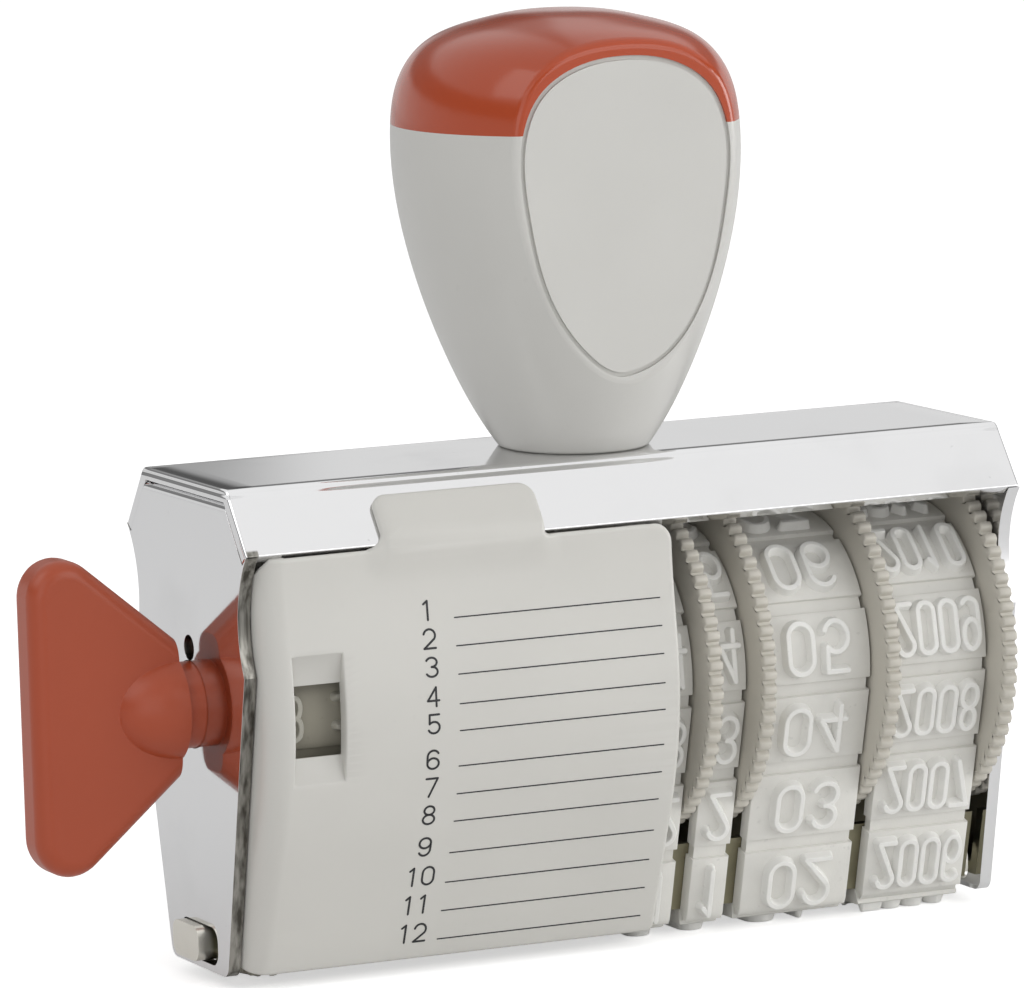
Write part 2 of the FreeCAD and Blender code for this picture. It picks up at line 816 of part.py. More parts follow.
def build():
    """Every node of the stamp by name."""
    body, cap = handle_parts()
    band_left, band_right, drum_left, drum_right = phrase_places()
    nodes = {
        "top_housing": top_housing(),
        "end_bracket": end_bracket(),
        "handle_body": body,
        "handle_cap": cap,
        "handle_screw": handle_screw(),
        "handle_washer": handle_washer(),
        "front_cover": front_cover(),
        "axle": axle(),
        "bridge": bridge(),
        "phrase_knob": phrase_knob(),
        "phrase_drum": phrase_drum(),
        "phrase_band": band(band_left, band_right, phrase_pad_shift),
    }
    for name, drum_start, left, right, disc_left, shift in date_rows():
        nodes[name + "_wheel"] = date_wheel(drum_start, disc_left)
        nodes[name + "_band"] = band(left, right, shift)
    return nodes


def main():
    os.makedirs("parts", exist_ok=True)
    for name, shape in build().items():
        shape.exportStep(os.path.join("parts", name + ".step"))
        print(name, "solids", len(shape.Solids), "valid", shape.isValid(),
              "volume %.1f" % shape.Volume)


main()
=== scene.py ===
"""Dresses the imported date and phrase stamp, adds its finer pieces, and lights it.

Lengths are in millimetres unless a line says otherwise; the frame's own are in metres.
"""
import math

import bmesh
import bpy
from mathutils import Matrix, Vector
from mathutils.bvhtree import BVHTree


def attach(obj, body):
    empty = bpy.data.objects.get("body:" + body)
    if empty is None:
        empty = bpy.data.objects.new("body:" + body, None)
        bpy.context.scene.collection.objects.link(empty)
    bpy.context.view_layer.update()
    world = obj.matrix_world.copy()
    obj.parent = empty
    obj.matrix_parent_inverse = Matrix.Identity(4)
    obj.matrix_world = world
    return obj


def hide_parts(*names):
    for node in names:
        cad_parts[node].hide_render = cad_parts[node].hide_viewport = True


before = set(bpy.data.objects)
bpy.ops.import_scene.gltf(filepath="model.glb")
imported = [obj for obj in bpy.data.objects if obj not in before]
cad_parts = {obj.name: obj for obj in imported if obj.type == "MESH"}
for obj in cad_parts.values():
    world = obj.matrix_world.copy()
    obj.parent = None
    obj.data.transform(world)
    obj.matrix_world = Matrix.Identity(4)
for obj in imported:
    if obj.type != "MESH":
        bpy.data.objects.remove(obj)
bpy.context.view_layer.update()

MM = 0.001
scene = bpy.context.scene

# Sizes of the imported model, in millimetres
AXIS_HEIGHT = 20.8
INNER_FACE = 31.95
PAD_RADIUS = 10.6
PAD_THICKNESS = 0.35
BAND_THICKNESS = 1.25
NOSE_HALF_WIDTH = 4.0
NOSE_RADIUS = 1.4
PAD_COUNT = 13
GROOVE_WIDTH = 1.05
GROOVE_NOTCH = 0.2
DISC_RADIUS = 13.6
DISC_THICKNESS = 1.1
TOOTH_COUNT = 72
TOOTH_HEIGHT = 0.5
DRUM_RADIUS = 9.23
DRUM_WALL = 1.3
DRUM_WEB = 1.2
BORE_RADIUS = 1.56
HUB_RADIUS = 3.2
SIDE_GAP = 0.1
BAND_GAP = 0.15
END_GAP = 0.25
PHRASE_BAND_INSET = 1.35

# How close points of one piece have to be to be welded
WELD = 0.0005
CAD_WELD = 0.002


class Value:
    """One number of a finish. Python's operators on it add the finish's maths."""

    def __init__(self, finish, socket):
        self.finish = finish
        self.socket = socket

    def __add__(self, other):
        return self.finish.maths("ADD", self, other)

    __radd__ = __add__

    def __sub__(self, other):
        return self.finish.maths("SUBTRACT", self, other)

    def __rsub__(self, other):
        return self.finish.maths("SUBTRACT", other, self)

    def __mul__(self, other):
        return self.finish.maths("MULTIPLY", self, other)

    __rmul__ = __mul__

    def __truediv__(self, other):
        return self.finish.maths("DIVIDE", self, other)

    def magnitude(self):
        return self.finish.maths("ABSOLUTE", self, 0.0)

    def above(self, floor):
        return self.finish.maths("MAXIMUM", self, floor)

    def between(self, low, high):
        """0 below low, 1 above high, and a smooth rise from one to the other."""
        settings = {"interpolation_type": "SMOOTHSTEP"}
        return self.finish.node("ShaderNodeMapRange", settings, (self, low, high, 0.0, 1.0))


class Finish:
    """A surface finish: one shader, and what changes its colour, roughness and grain."""

    def __init__(self, name, colour, roughness, **shader):
        self.material = bpy.data.materials.new(name)
        self.material.use_nodes = True
        self.tree = self.material.node_tree
        self.shader = self.tree.nodes["Principled BSDF"]
        self.shader.inputs["Base Color"].default_value = (*colour, 1)
        self.shader.inputs["Roughness"].default_value = roughness
        for socket, number in shader.items():
            self.shader.inputs[socket.replace("_", " ")].default_value = number
        self.colour = (*colour, 1)
        self.place = self.node("ShaderNodeTexCoord", {}, (), 3)

    def node(self, kind, settings, values, output=0):
        """Adds a node: its settings first, then its inputs, by place or by name."""
        node = self.tree.nodes.new(kind)
        for name, setting in settings.items():
            setattr(node, name, setting)
        pairs = values.items() if isinstance(values, dict) else enumerate(values)
        for key, value in pairs:
            if isinstance(value, Value):
                self.tree.links.new(value.socket, node.inputs[key])
            else:
                node.inputs[key].default_value = value
        return Value(self, node.outputs[output])

    def maths(self, operation, first, second):
        return self.node("ShaderNodeMath", {"operation": operation}, (first, second))

    def noise(self, size, detail=3.0, stretch=(1, 1, 1)):
        """Soft noise from 0 to 1, with features of a size in millimetres."""
        scale = [1 / (size * MM * share) for share in stretch]
        spot = self.node("ShaderNodeVectorMath", {"operation": "MULTIPLY"}, (self.place, scale))
        values = {"Vector": spot, "Scale": 1.0, "Detail": detail}
        return self.node("ShaderNodeTexNoise", {}, values)

    def along(self, axis):
        """The place along X, Y or Z, in millimetres."""
        return self.node("ShaderNodeSeparateXYZ", {}, (self.place,), axis) / MM

    def mixed(self, share, first, second):
        values = {0: share, 6: first, 7: second}
        return self.node("ShaderNodeMix", {"data_type": "RGBA"}, values, 2)

    def tinted(self, share):
        """The finish's own colour made darker or lighter by a share."""
        return tuple(channel * share for channel in self.colour[:3]) + (1,)

    def paint(self, socket, value):
        self.tree.links.new(value.socket, self.shader.inputs[socket])

    def grain(self, height, depth, strength=1.0):
        """Grain whose height from 0 to 1 stands for a depth in millimetres."""
        values = {"Height": height, "Distance": depth * MM, "Strength": strength}
        self.paint("Normal", self.node("ShaderNodeBump", {}, values))


def plated_steel(name, colour, roughness):
    """Plated steel with a faint draw grain along X and thumb marks."""
    finish = Finish(name, colour, roughness, Metallic=1.0)
    marks = finish.noise(9, 4).between(0.45, 0.8)
    grain = finish.noise(0.25, 2, (60, 1, 1))
    specks = finish.noise(0.6, 2).between(0.70, 0.78)
    finish.paint("Roughness", roughness + marks * 0.06 + specks * 0.12 + grain * 0.03)
    wear_and_painted_light = marks * 0.5 + specks * 0.5
    finish.paint("Base Color", finish.mixed(wear_and_painted_light, finish.colour, finish.tinted(0.86)))
    finish.grain(grain, 0.0015, 0.6)
    return finish


def bright_sheet():
    """Bright plated sheet: its faces are mirrors and its sheared edges drawn; those of the left
    plate are darker in painted shade.
    """
    finish = Finish("bright_sheet", (0.81, 0.81, 0.815), 0.07, Metallic=1.0)
    facing = finish.node("ShaderNodeTexCoord", {}, (), 1)
    x, y, z = (finish.along(axis) for axis in range(3))
    sideways = finish.node("ShaderNodeSeparateXYZ", {}, (facing,), 0).magnitude()
    plate = x.magnitude().between(31.8, 31.9)
    below = 1 - z.between(33.9, 34.1)
    sheared = (1 - sideways.between(0.25, 0.6)) * plate * below
    streaks = finish.noise(0.5, 3, (1, 1, 14)).between(0.3, 0.7)
    marks = finish.noise(9, 4).between(0.5, 0.8)
    specks = finish.noise(0.7, 3).between(0.72, 0.80)
    polished = finish.mixed(marks * 0.35 + specks * 0.65, finish.colour, finish.tinted(0.84))
    # painted shade: only the left plate's sheared edges are painted dark; the streaks along them
    # are the edges' own drawn marks
    edge = finish.mixed(streaks, (0.07, 0.065, 0.055, 1), (0.34, 0.33, 0.30, 1))
    left = 1 - x.between(-1, 1)
    finish.paint("Base Color", finish.mixed(sheared * left, polished, edge))
    finish.paint("Roughness", 0.06 + marks * 0.05 + specks * 0.1 + sheared * 0.22)
    # the top rolls off a little towards its bends and its sheared ends
    across = (y.magnitude() - 7.0).above(0)
    ends = (x.magnitude() - 30.2).above(0)
    roll = across * across * 0.045 + ends * ends * 0.03
    top = z.between(37.6, 38.0)
    grain = finish.noise(0.3, 2, (60, 1, 1))
    finish.grain(0 - roll * top + grain * 0.0009, 1.0)
    return finish


def moulded_plastic(name, colour, roughness, grain_size, grain_depth):
    """Moulded plastic: fine spark grain, slow shade changes and a little handling gloss."""
    finish = Finish(name, colour, roughness)
    slow = finish.noise(11, 3)
    fine = finish.noise(grain_size, 2)
    specks = finish.noise(0.9, 3).between(0.68, 0.80)
    shade = finish.mixed(slow, finish.tinted(0.95), finish.tinted(1.04))
    finish.paint("Base Color", finish.mixed(specks * 0.18, shade, finish.tinted(0.84)))
    finish.paint("Roughness", roughness + (slow - 0.5) * 0.12 + (fine - 0.5) * 0.03)
    finish.grain(fine, grain_depth, 0.4)
    return finish


def band_rubber(name, colour):
    """Pale rubber with a chalky bloom."""
    finish = Finish(name, colour, 0.6)
    bloom = finish.noise(2.2, 4)
    fine = finish.noise(0.2, 2)
    specks = finish.noise(0.7, 3).between(0.66, 0.76)
    shade = finish.mixed(bloom, finish.tinted(0.9), finish.tinted(1.05))
    finish.paint("Base Color", finish.mixed(specks * 0.4, shade, finish.tinted(0.75)))
    finish.paint("Roughness", 0.5 + bloom * 0.2)
    finish.grain(fine * 0.6 + bloom * 0.4, 0.03, 0.6)
    return finish


def passivated_metal():
    """Olive plating, painted darker between the plates and paler on the lugs that stand out of
    them: painted shade and painted light on one plating.
    """
    finish = Finish("passivated_metal", (0.24, 0.225, 0.15), 0.38, Metallic=0.9)
    cast = finish.noise(4, 4)
    # painted light and shade: the lugs outside the plates are painted pale where they are lit, and
    # the part between the plates darker olive where shade falls
    wear_and_painted_light = finish.along(0).magnitude().between(32.4, 32.9)
    inside = finish.mixed(cast, finish.tinted(0.7), (0.36, 0.335, 0.23, 1))
    lit_lugs = finish.mixed(cast, (0.74, 0.72, 0.64, 1), (0.86, 0.84, 0.78, 1))
    finish.paint("Base Color", finish.mixed(wear_and_painted_light, inside, lit_lugs))
    finish.paint("Roughness", 0.28 + cast * 0.2)
    finish.grain(finish.noise(0.3, 2, (20, 1, 1)), 0.003, 0.5)
    return finish


def print_ink():
    """Black ink that is a little uneven in its gloss."""
    finish = Finish("print_ink", (0.018, 0.018, 0.02), 0.45)
    finish.paint("Roughness", 0.4 + finish.noise(0.5, 2) * 0.2)
    return finish


bright_steel = bright_sheet()
zinc_steel = plated_steel("zinc_steel", (0.62, 0.63, 0.64), 0.28)
lug_metal = passivated_metal()
grey_plastic = moulded_plastic("grey_plastic", (0.575, 0.568, 0.540), 0.30, 0.5, 0.0015)
cover_plastic = moulded_plastic("cover_plastic", (0.60, 0.59, 0.555), 0.42, 0.4, 0.004)
ivory_plastic = moulded_plastic("ivory_plastic", (0.54, 0.515, 0.455), 0.45, 0.3, 0.012)
red_gloss = moulded_plastic("red_gloss", (0.41, 0.057, 0.014), 0.16, 0.8, 0.0006)
red_satin = moulded_plastic("red_satin", (0.38, 0.060, 0.018), 0.34, 0.3, 0.004)
rubber = band_rubber("pale_rubber", (0.72, 0.71, 0.67))
# a lighter copy of the pad rubber for the raised figures: painted highlight on their lit crests
lit_type_rubber = band_rubber("lit_type_rubber", (0.80, 0.795, 0.765))
# darker copies of the rubber for the phrase band and its type: painted shade inside the cover's
# window; its type is lighter than its pads, a painted highlight on lit crests
painted_shade_rubber = band_rubber("painted_shade_rubber", (0.33, 0.31, 0.25))
painted_shade_type = band_rubber("painted_shade_type", (0.46, 0.445, 0.385))
ink = print_ink()


def dress(node, finish):
    """Gives a CAD node its finish."""
    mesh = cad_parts[node].data
    mesh.materials.clear()
    mesh.materials.append(finish.material)


def add_piece(name, body, finish, shape, smooth_angle=35):
    """A mesh piece from a form, riding on a CAD body."""
    mesh = bpy.data.meshes.new(name)
    mesh.from_pydata([Vector(point) * MM for point in shape.points], [], shape.faces)
    form = bmesh.new()
    form.from_mesh(mesh)
    bmesh.ops.remove_doubles(form, verts=form.verts, dist=WELD * MM)
    bmesh.ops.recalc_face_normals(form, faces=form.faces)
    form.to_mesh(mesh)
    form.free()
    mesh.polygons.foreach_set("use_smooth", [True] * len(mesh.polygons))
    mesh.set_sharp_from_angle(angle=math.radians(smooth_angle))
    mesh.materials.append(finish.material)
    piece = bpy.data.objects.new(name, mesh)
    scene.collection.objects.link(piece)
    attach(piece, body)
    return piece


class Form:
    """Points and faces that gather into one mesh."""

    def __init__(self):
        self.points = []
        self.faces = []

    def add(self, points, faces):
        start = len(self.points)
        self.points += points
        self.faces += [tuple(start + index for index in face) for face in faces]

    def add_rings(self, rings):
        """Joins rings of equal length, each to the next one."""
        size = len(rings[0])
        faces = []
        for row in range(len(rings) - 1):
            for index in range(size):
                after = (index + 1) % size
                low, high = row * size, (row + 1) * size
                faces.append((low + index, low + after, high + after, high + index))
        self.add([point for ring in rings for point in ring], faces)


# The bands' path: the flat at the foot, the nose's round, the leaning run and the drum's round
RUN_RISE = AXIS_HEIGHT - NOSE_RADIUS
RUN_LEAN = (math.atan2(RUN_RISE, NOSE_HALF_WIDTH)
            - math.acos((PAD_RADIUS - NOSE_RADIUS) / math.hypot(NOSE_HALF_WIDTH, RUN_RISE)))
NOSE_ARC = NOSE_RADIUS * (math.pi / 2 - RUN_LEAN)
LEAN_COS = math.cos(RUN_LEAN)
LEAN_SIN = math.sin(RUN_LEAN)
NOSE_END = Vector((-NOSE_HALF_WIDTH - NOSE_RADIUS * LEAN_COS, NOSE_RADIUS * (1 - LEAN_SIN)))
RUN_END = Vector((-PAD_RADIUS * LEAN_COS, AXIS_HEIGHT - PAD_RADIUS * LEAN_SIN))
RUN_LENGTH = (RUN_END - NOSE_END).length
RUN_WAY = (RUN_END - NOSE_END) / RUN_LENGTH
HALF_ROUND = NOSE_HALF_WIDTH + NOSE_ARC + RUN_LENGTH + PAD_RADIUS * (math.pi / 2 + RUN_LEAN)
PITCH = 2 * HALF_ROUND / PAD_COUNT


def band_point(x, distance, inset):
    """A point of a band: its x, how far along the outer face, and how far in from it."""
    distance = (distance + HALF_ROUND) % (2 * HALF_ROUND) - HALF_ROUND
    side = -1 if distance < 0 else 1
    distance = abs(distance)
    if distance < NOSE_HALF_WIDTH:
        angle = -math.pi / 2
        y, z = -distance, 0.0
    elif distance < NOSE_HALF_WIDTH + NOSE_ARC:
        angle = -math.pi / 2 + (distance - NOSE_HALF_WIDTH) / NOSE_RADIUS
        y = -NOSE_HALF_WIDTH - NOSE_RADIUS * math.cos(angle)
        z = NOSE_RADIUS * (1 + math.sin(angle))
    elif distance < NOSE_HALF_WIDTH + NOSE_ARC + RUN_LENGTH:
        angle = -RUN_LEAN
        y, z = NOSE_END + RUN_WAY * (distance - NOSE_HALF_WIDTH - NOSE_ARC)
    else:
        angle = -RUN_LEAN + (distance - NOSE_HALF_WIDTH - NOSE_ARC - RUN_LENGTH) / PAD_RADIUS
        y = -PAD_RADIUS * math.cos(angle)
        z = AXIS_HEIGHT + PAD_RADIUS * math.sin(angle)
    return (x, side * (y + inset * math.cos(angle)), z - inset * math.sin(angle))


def arc_points(centre, radii, start, end, steps=14):
    """Points of an elliptic arc from one angle to another, in degrees."""
    points = []
    for step in range(steps + 1):
        angle = math.radians(start + (end - start) * step / steps)
        points.append((centre[0] + radii[0] * math.cos(angle),
                       centre[1] + radii[1] * math.sin(angle)))
    return points


def figure_strokes(figure, width, height):
    """The strokes of a plain numeral, each with its points and whether it closes."""
    half = width / 2
    round_top = (half, height - half)
    if figure == "0":
        return [(arc_points(round_top, (half, half), 0, 180)
                 + arc_points((half, half), (half, half), 180, 360), True)]
    if figure == "1":
        return [([(half, 0), (half, height)], False),
                ([(half, height), (half * 0.35, height * 0.84)], False)]
    if figure == "2":
        curve = arc_points(round_top, (half, half), 165, -35)
        return [(curve + [(0, 0)], False), ([(0, 0), (width, 0)], False)]
    if figure == "3":
        upper = arc_points((half, height * 0.755), (half * 0.94, height * 0.245), 155, -90)
        lower = arc_points((half, height * 0.26), (half, height * 0.26), 90, -155)
        return [(upper, False), (lower, False)]
    if figure == "4":
        return [([(width * 0.75, 0), (width * 0.75, height)], False),
                ([(width * 0.75, height), (0, height * 0.30)], False),
                ([(0, height * 0.30), (width, height * 0.30)], False)]
    if figure == "5":
        bowl = arc_points((half, height * 0.31), (half, height * 0.31), 140, -155)
        return [([(width * 0.95, height), (width * 0.12, height)], False),
                ([(width * 0.12, height), bowl[0]], False), (bowl, False)]
    if figure in "69":
        spine = arc_points(round_top, (half, half), 30, 180) + [(0, height * 0.3)]
        bowl = arc_points((half, height * 0.29), (half, height * 0.29), 0, 345, 22)
        strokes = [(spine, False), (bowl, True)]
        if figure == "9":
            strokes = [([(width - x, height - y) for x, y in points], closed)
                       for points, closed in strokes]
        return strokes
    if figure == "7":
        return [([(0, height), (width, height)], False),
                ([(width, height), (width * 0.3, 0)], False)]
    upper = arc_points((half, height * 0.76), (half * 0.88, height * 0.24), 0, 345, 22)
    lower = arc_points((half, height * 0.26), (half, height * 0.26), 0, 345, 22)
    return [(upper, True), (lower, True)]


# Steps of the half round at a ridge's end
END_STEPS = 8


def add_ridge(form, points, closed, section, place):
    """Sweeps a ridge's half section along a stroke, with rounded ends."""
    count = len(points)
    foot, crest = (0, section[0][1]), (0, section[-1][1])
    whole = [(-out, height) for out, height in section] + [crest]
    whole += [(out, height) for out, height in reversed(section)] + [foot]
    rings = []

    def cross(spot, way):
        return [place(spot[0] - way[1] * out, spot[1] + way[0] * out, height)
                for out, height in whole]

    for index, spot in enumerate(points):
        before = points[index - 1] if closed or index else points[0]
        after = points[(index + 1) % count] if closed or index < count - 1 else points[-1]
        way = Vector((after[0] - before[0], after[1] - before[1])).normalized()
        rings.append(cross(spot, way))
    if closed:
        form.add_rings(rings + rings[:1])
        return
    form.add_rings(rings)
    for spot, other in ((points[0], points[1]), (points[-1], points[-2])):
        way = math.atan2(spot[1] - other[1], spot[0] - other[0])
        fans = []
        for step in range(END_STEPS + 1):
            turn = way + math.pi * (step / END_STEPS - 0.5)
            side, up = math.cos(turn), math.sin(turn)
            fan = [place(spot[0] + side * out, spot[1] + up * out, height)
                   for out, height in section]
            fans.append(fan + [place(*spot, crest[1]), place(*spot, foot[1])])
        form.add_rings(fans)


def ridge_section(crest, foot, height):
    """Half a ridge's cross-section, as (out, height) from its foot to its crest."""
    return [(foot, 0.0), (foot * 0.4 + crest * 0.6, height * 0.55),
            (crest + 0.01, height * 0.94), (crest * 0.75, height)]


# Each further stroke of a figure is this part lower, so that no two crests lie in one plane
STROKE_STEP = 0.02
# How deep the feet of raised type stand in a pad
TYPE_SINK = 0.04


def add_figures(form, text, left, middle, shape, section, upright=False):
    """Raised figures on a band. Type reads the right way once it is printed on paper."""
    width, gap, height = shape
    for index, figure in enumerate(text):
        start = left + index * (width + gap)

        def place(across, up, out, start=start):
            way = 1 if upright else -1
            return band_point(start + across, middle + way * (up - height / 2), TYPE_SINK - out)

        for layer, (points, closed) in enumerate(figure_strokes(figure, width, height)):
            lowered = [(out, rise * (1 - STROKE_STEP * layer)) for out, rise in section]
            add_ridge(form, points, closed, lowered, place)


# A pad's rings as (margin, inset), from the band's inner face up its rounded edge
PAD_EDGE = ((0.0, BAND_THICKNESS), (0.0, 0.13), (0.04, 0.04), (0.13, 0.0))
PAD_STEPS = 14
LOOP_STEPS = 170


def add_pad(form, low, high, x_low, x_high):
    """One pad with the part of the loop under it, its edges softly rounded."""
    rings = []
    for margin, inset in PAD_EDGE:
        lower = []
        upper = []
        for step in range(PAD_STEPS + 1):
            distance = low + margin + (high - low - 2 * margin) * step / PAD_STEPS
            lower.append(band_point(x_low + margin, distance, inset))
            upper.append(band_point(x_high - margin, distance, inset))
        rings.append(lower + upper[::-1])
    form.add_rings(rings)
    size = 2 * (PAD_STEPS + 1)
    faces = [(step, step + 1, size - 2 - step, size - 1 - step) for step in range(PAD_STEPS)]
    form.add(rings[-1], faces)
    form.add(rings[0], faces)


def add_loop(form, x_low, x_high, outer, inner):
    """The thin loop that carries the pads."""
    rings = []
    for step in range(LOOP_STEPS + 1):
        distance = 2 * HALF_ROUND * step / LOOP_STEPS - HALF_ROUND
        rings.append([band_point(x_low, distance, outer), band_point(x_high, distance, outer),
                      band_point(x_high, distance, inner), band_point(x_low, distance, inner)])
    form.add_rings(rings)


def band_piece(name, x_low, x_high, shift, finish):
    """A band of rubber with its pads, and what it replaces."""
    form = Form()
    add_loop(form, x_low + GROOVE_NOTCH, x_high - GROOVE_NOTCH, PAD_THICKNESS,
             BAND_THICKNESS - 0.02)
    for pad in range(PAD_COUNT):
        low = shift + PITCH * (pad - 0.5) + GROOVE_WIDTH / 2
        add_pad(form, low, low + PITCH - GROOVE_WIDTH, x_low, x_high)
    piece = add_piece(name + "_rubber", "frame", finish, form)
    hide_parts(name)


TYPE_RIDGE = ridge_section(0.19, 0.42, 0.72)
LOW_RIDGE = ridge_section(0.16, 0.30, 0.36)
TYPE_HEIGHT = 3.8
TYPE_ANGLE = 28


def date_band(name, x_low, x_high, shift, rows, width, gap):
    """A date band: a row of figures on each pad, from the bottom one up the front."""
    band_piece(name, x_low, x_high, shift, rubber)
    form = Form()
    for pad, text in enumerate(rows):
        left = (x_low + x_high - len(text) * width - (len(text) - 1) * gap) / 2
        shape = (width, gap, TYPE_HEIGHT)
        add_figures(form, text, left, shift + PITCH * pad, shape, TYPE_RIDGE)
    # the figures' lighter rubber is a painted highlight on their crests
    add_piece(name + "_figures", "frame", lit_type_rubber, form, TYPE_ANGLE)


# The phrase band's numbers as (width, gap, height), and the two bars that stand for words
INDEX_SHAPE = (0.95, 0.35, 3.1)
INDEX_LEFT = 1.15
INDEX_DROP = 0.25
INDEX_SHIFT = 3
BAR_LEFT = 5.2
BAR_RIGHT = 1.2
BAR_RISE = 1.1
# The pad that passes close under the cover's foot has lower type
LOW_PAD = 1


def phrase_band(x_low, x_high, shift):
    """The phrase band: a number to read through the window, and plain bars for the words."""
    # the phrase band's darker rubber and type are painted shade
    band_piece("phrase_band", x_low, x_high, shift, painted_shade_rubber)
    form = Form()
    start = x_low + BAR_LEFT
    for pad in range(PAD_COUNT - 1):
        middle = shift + PITCH * pad
        ridge = LOW_RIDGE if pad == LOW_PAD else TYPE_RIDGE
        text = str((pad + INDEX_SHIFT) % 12 + 1)
        add_figures(form, text, x_low + INDEX_LEFT, middle - INDEX_DROP, INDEX_SHAPE, ridge, True)
        for up in (-BAR_RISE, BAR_RISE):
            def place(across, rise, out, up=up):
                return band_point(start + across, middle + up + rise, TYPE_SINK - out)

            add_ridge(form, [(0, 0), (x_high - start - BAR_RIGHT, 0)], False, ridge, place)
    add_piece("phrase_band_figures", "frame", painted_shade_type, form, TYPE_ANGLE)


def circle_x(x, radius, count):
    """A ring of points about the axle."""
    return [(x, radius * math.sin(2 * math.pi * step / count),
             AXIS_HEIGHT + radius * math.cos(2 * math.pi * step / count))
            for step in range(count)]


# A tooth's outline as (share of its pitch, share of its height)
TOOTH_OUTLINE = ((-0.50, 0.0), (-0.40, 0.03), (-0.32, 0.42), (-0.26, 0.82), (-0.17, 1.0),
                 (0.17, 1.0), (0.26, 0.82), (0.32, 0.42), (0.40, 0.03))
# How a tooth's ends are rounded, as (distance along the axle, inset)
TOOTH_END = ((0.0, 0.17), (0.04, 0.07), (0.13, 0.0))
TOOTH_ROOT_BAND = 0.35
DRUM_ROUND = 0.15
RIM_ROUND = 0.1
RECESS = 0.12


def toothed_ring(x, inset):
    """The outline of the teeth, pulled in by an inset to round their edges."""
    root = DISC_RADIUS - TOOTH_HEIGHT
    points = []
    for tooth in range(TOOTH_COUNT):
        for share, rise in TOOTH_OUTLINE:
            radius = root + TOOTH_HEIGHT * rise - inset * (0.25 + 0.75 * rise)
            angle = 2 * math.pi * (tooth + share * (1 - inset * 0.35)) / TOOTH_COUNT
            points.append((x, radius * math.sin(angle), AXIS_HEIGHT + radius * math.cos(angle)))
    return points


def wheel_piece(name, drum_left, disc_left):
    """A thumb wheel: its toothed disc with softened teeth, and its drum."""
    form = Form()
    disc_right = disc_left + DISC_THICKNESS
    count = TOOTH_COUNT * len(TOOTH_OUTLINE)
    face_radius = DISC_RADIUS - TOOTH_HEIGHT - TOOTH_ROOT_BAND
    rings = [circle_x(disc_left, face_radius, count)]
    rings += [toothed_ring(disc_left + along, inset) for along, inset in TOOTH_END]
    rings += [toothed_ring(disc_right - along, inset) for along, inset in TOOTH_END[::-1]]
    rings.append(circle_x(disc_right, face_radius, count))
    form.add_rings(rings)
    inside = DRUM_RADIUS - DRUM_WALL
    web = max(disc_left - DRUM_WEB, drum_left + 0.65)
    recess = disc_right - RECESS
    profile = ((disc_left, face_radius), (disc_left + 0.001, DRUM_RADIUS),
               (drum_left + DRUM_ROUND, DRUM_RADIUS), (drum_left, DRUM_RADIUS - DRUM_ROUND),
               (drum_left, inside + RIM_ROUND), (drum_left + RIM_ROUND, inside),
               (web, inside), (web, HUB_RADIUS),
               (drum_left + RIM_ROUND, HUB_RADIUS), (drum_left, HUB_RADIUS - RIM_ROUND),
               (drum_left, BORE_RADIUS), (disc_right, BORE_RADIUS),
               (disc_right, HUB_RADIUS), (recess, HUB_RADIUS + 0.2),
               (recess, face_radius - 1.1), (disc_right, face_radius - 0.9),
               (disc_right, face_radius))
    form.add_rings([circle_x(x, radius, count) for x, radius in profile])
    body = name.replace("_wheel", "_dial")
    piece = add_piece(name + "_moulding", body, ivory_plastic, form, 40)
    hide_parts(name)


for node, finish in (
        ("top_housing", bright_steel), ("end_bracket", bright_steel), ("handle_body", grey_plastic),
        ("handle_cap", red_gloss), ("handle_screw", zinc_steel), ("handle_washer", zinc_steel),
        ("front_cover", cover_plastic), ("axle", zinc_steel), ("bridge", lug_metal),
        # the phrase band's darker rubber is painted shade
        ("phrase_knob", red_satin), ("phrase_drum", ivory_plastic), ("phrase_band", painted_shade_rubber),
        ("day_tens_wheel", ivory_plastic), ("day_units_wheel", ivory_plastic),
        ("month_wheel", ivory_plastic), ("year_wheel", ivory_plastic), ("day_tens_band", rubber),
        ("day_units_band", rubber), ("month_band", rubber), ("year_band", rubber)):
    dress(node, finish)

# The wheels and their bands from the right end plate inwards, each with its band's width and
# shift, its rows of figures, and a figure's width and the gap after it
disc_right = INNER_FACE - END_GAP
for row, width, shift, figures, figure_width, figure_gap in (
        ("year", 8.85, 1.85, [str(2005 + pad) for pad in range(12)], 1.36, 0.59),
        ("month", 9.45, 1.2, ["%02d" % (pad + 1) for pad in range(12)], 2.1, 1.0),
        ("day_units", 3.2, 1.2, "0123456789", 1.65, 0.5),
        ("day_tens", 3.2, 1.2, "01234", 1.65, 0.5)):
    disc_left = disc_right - DISC_THICKNESS
    band_right = disc_left - BAND_GAP
    band_left = band_right - width
    disc_right = band_left - BAND_GAP
    wheel_piece(row + "_wheel", disc_right + SIDE_GAP, disc_left)
    date_band(row + "_band", band_left, band_right, shift, figures, figure_width, figure_gap)
phrase_band(-INNER_FACE + PHRASE_BAND_INSET, band_left - END_GAP, 0.1)


